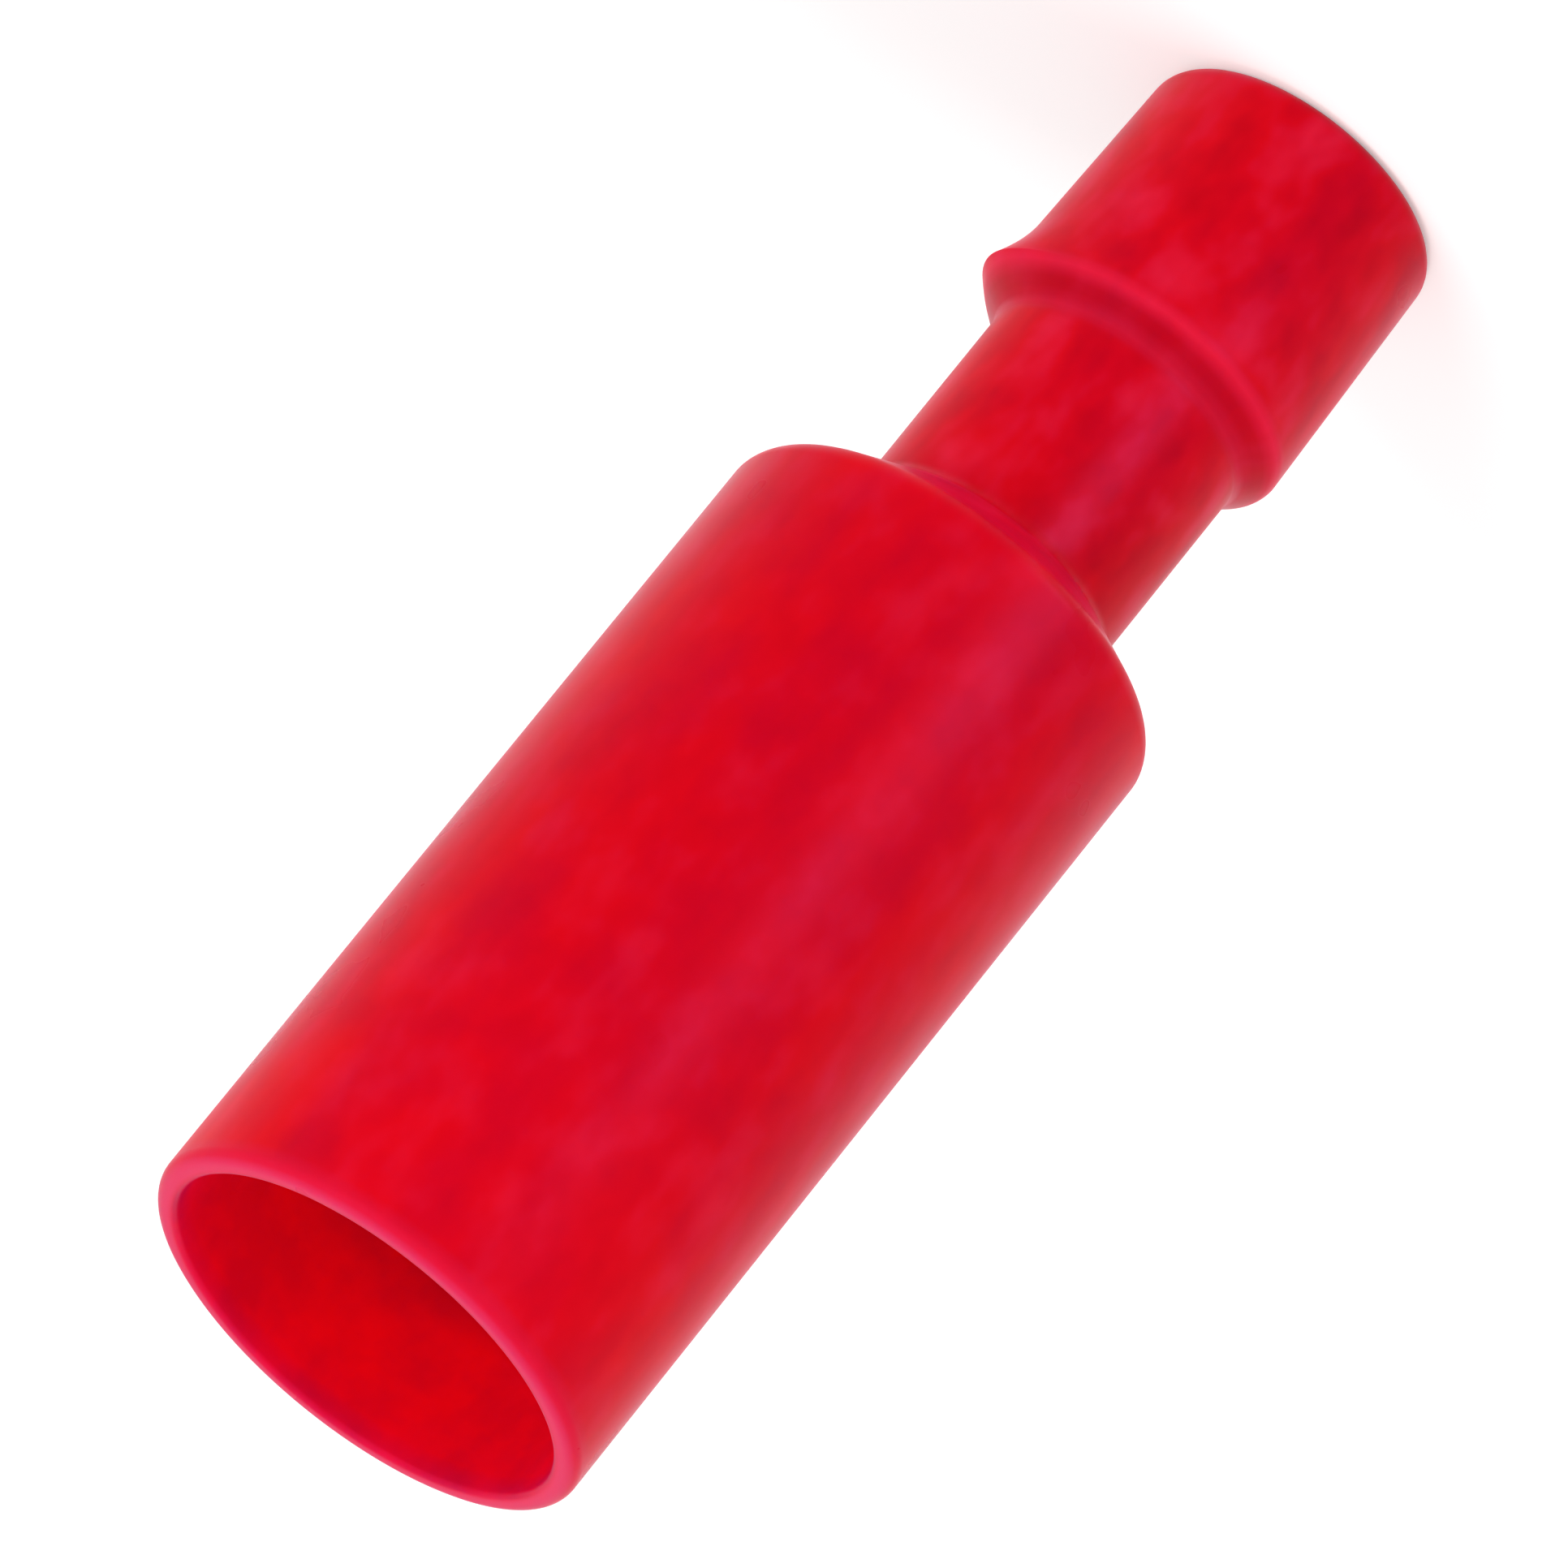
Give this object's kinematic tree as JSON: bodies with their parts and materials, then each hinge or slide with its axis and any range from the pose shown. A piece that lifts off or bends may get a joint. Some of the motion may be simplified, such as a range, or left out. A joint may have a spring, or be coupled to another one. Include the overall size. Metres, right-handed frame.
{
  "type": "insulated round crimp terminal",
  "caption": "Fully insulated female bullet terminal: a stepped red vinyl sleeve with a wire funnel, neck and wide open mouth over a rolled socket contact.",
  "frame": {"origin": "centre of the wire-end rim, on the surface that the terminal stands on", "axes": "+Z along the terminal's axis, from the wire end up to the mouth; +Y towards the contact's open seam"},
  "size_m": [0.0078, 0.0078, 0.025],
  "materials": {
    "red_vinyl": "moulded glossy vinyl, slightly translucent",
    "tinned_brass": "bright tin plate on stamped and rolled brass"
  },
  "bodies": {
    "root": {"insulating_sleeve": "red_vinyl", "socket_contact": "tinned_brass"}
  },
  "joints": []
}
